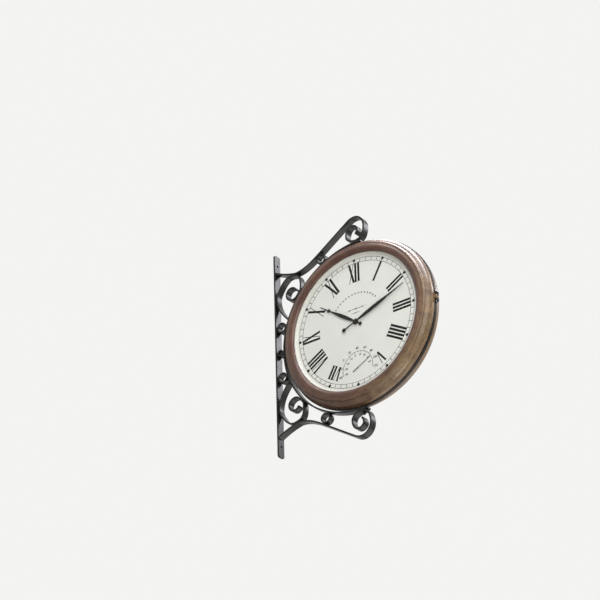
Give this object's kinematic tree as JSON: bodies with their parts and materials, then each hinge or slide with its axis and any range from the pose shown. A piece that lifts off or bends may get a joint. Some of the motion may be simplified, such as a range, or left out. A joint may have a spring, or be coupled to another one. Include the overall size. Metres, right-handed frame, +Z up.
{
  "type": "station clock",
  "caption": "Round double-sided wall clock with Roman dials, hands and a dial thermometer, hung in a scrolled iron bracket; each face swings open on a hinge at its outer edge.",
  "frame": {"origin": "middle of the back face of the wall bar, on the wall plane, level with the hand axis", "axes": "+X away from the wall along the bracket, +Z up, the front dial faces -Y and the rear dial +Y"},
  "size_m": [0.4131, 0.0594, 0.5202],
  "materials": {
    "bracket_black": "satin black powder coat",
    "case_black": "satin black paint",
    "black_steel": "black oxide",
    "zinc_steel": "zinc plated",
    "bezel_bronze": "streaked antique bronze paint over moulded resin",
    "lens_glass": "clear flat lens",
    "reveal_cream": "cream satin",
    "dial_white": "matt off-white printed sheet",
    "hand_black": "matt black-brown paint",
    "movement_plastic": "moulded black",
    "gear_plastic": "white acetal",
    "knob_plastic": "moulded red",
    "brass": "turned brass",
    "copper_wire": "enamelled winding wire",
    "cell_jacket": "plain printed sleeve"
  },
  "bodies": {
    "bracket": {"wall_bar": "bracket_black", "upper_arm": "bracket_black", "lower_arm": "bracket_black", "upper_c_scroll": "bracket_black", "lower_c_scroll": "bracket_black", "cradle_band": "bracket_black", "wall_spacer_rings": "bracket_black", "arm_spacer_rings": "bracket_black", "case_ring": "case_black", "case_studs": "zinc_steel", "case_nuts": "black_steel", "case_sleeves": "black_steel", "case_hinge_plate": "case_black", "hinge_pins": "zinc_steel", "catch_magnet": "zinc_steel"},
    "front_door": {"front_bezel": "bezel_bronze", "front_hinge_leaf": "bezel_bronze", "front_catch_keeper": "zinc_steel", "front_lens": "lens_glass", "front_reveal_ring": "reveal_cream", "front_dial": "dial_white", "front_dial_screws": "zinc_steel", "front_movement_case": "movement_plastic", "front_movement_cover": "movement_plastic", "front_fixing_nut": "brass", "front_battery": "cell_jacket", "front_battery_contacts": "zinc_steel", "front_drive_coil": "copper_wire", "front_thermo_case": "movement_plastic", "front_thermo_coil": "brass"},
    "front_minute": {"front_minute_arbor": "gear_plastic", "front_minute_hand": "hand_black"},
    "front_hour": {"front_hour_wheel": "gear_plastic", "front_hour_hand": "hand_black"},
    "front_motion_work": {"front_minute_wheel": "gear_plastic", "front_set_knob": "knob_plastic"},
    "front_thermo": {"front_thermo_needle": "hand_black"},
    "rear_door": {"rear_bezel": "bezel_bronze", "rear_hinge_leaf": "bezel_bronze", "rear_catch_keeper": "zinc_steel", "rear_lens": "lens_glass", "rear_reveal_ring": "reveal_cream", "rear_dial": "dial_white", "rear_dial_screws": "zinc_steel", "rear_movement_case": "movement_plastic", "rear_movement_cover": "movement_plastic", "rear_fixing_nut": "brass", "rear_battery": "cell_jacket", "rear_battery_contacts": "zinc_steel", "rear_drive_coil": "copper_wire", "rear_thermo_case": "movement_plastic", "rear_thermo_coil": "brass"},
    "rear_minute": {"rear_minute_arbor": "gear_plastic", "rear_minute_hand": "hand_black"},
    "rear_hour": {"rear_hour_wheel": "gear_plastic", "rear_hour_hand": "hand_black"},
    "rear_motion_work": {"rear_minute_wheel": "gear_plastic", "rear_set_knob": "knob_plastic"},
    "rear_thermo": {"rear_thermo_needle": "hand_black"}
  },
  "joints": [
    {"name": "front_door_hinge", "type": "hinge", "parent": "bracket", "child": "front_door", "pos_m": [0.4111, -0.0033, 0], "axis": [0, 0, 1], "range_deg": [0, 105]},
    {"name": "front_minute_turn", "type": "hinge", "parent": "front_door", "child": "front_minute", "pos_m": [0.2183, -0.02, 0], "axis": [0, 1, 0], "continuous": true},
    {"name": "front_hour_turn", "type": "hinge", "parent": "front_door", "child": "front_hour", "pos_m": [0.2183, -0.02, 0], "axis": [0, 1, 0], "continuous": true},
    {"name": "front_set_knob_turn", "type": "hinge", "parent": "front_door", "child": "front_motion_work", "pos_m": [0.2183, -0.01, 0.012], "axis": [0, 1, 0], "continuous": true},
    {"name": "front_needle_turn", "type": "hinge", "parent": "front_door", "child": "front_thermo", "pos_m": [0.2183, -0.015, -0.10739], "axis": [0, 1, 0], "range_deg": [-164, 39], "stiffness_Nm_per_rad": 0.003},
    {"name": "rear_door_hinge", "type": "hinge", "parent": "bracket", "child": "rear_door", "pos_m": [0.4111, 0.0033, 0], "axis": [0, 0, -1], "range_deg": [0, 105]},
    {"name": "rear_minute_turn", "type": "hinge", "parent": "rear_door", "child": "rear_minute", "pos_m": [0.2183, 0.02, 0], "axis": [0, -1, 0], "continuous": true},
    {"name": "rear_hour_turn", "type": "hinge", "parent": "rear_door", "child": "rear_hour", "pos_m": [0.2183, 0.02, 0], "axis": [0, -1, 0], "continuous": true},
    {"name": "rear_set_knob_turn", "type": "hinge", "parent": "rear_door", "child": "rear_motion_work", "pos_m": [0.2183, 0.01, 0.012], "axis": [0, -1, 0], "continuous": true},
    {"name": "rear_needle_turn", "type": "hinge", "parent": "rear_door", "child": "rear_thermo", "pos_m": [0.2183, 0.015, -0.10739], "axis": [0, -1, 0], "range_deg": [-164, 39], "stiffness_Nm_per_rad": 0.003}
  ],
  "couplings": [
    {"joint": "front_hour_turn", "follows": "front_minute_turn", "ratio": 0.083333},
    {"joint": "front_set_knob_turn", "follows": "front_minute_turn", "ratio": -0.33333},
    {"joint": "rear_hour_turn", "follows": "rear_minute_turn", "ratio": 0.083333},
    {"joint": "rear_set_knob_turn", "follows": "rear_minute_turn", "ratio": -0.33333}
  ]
}
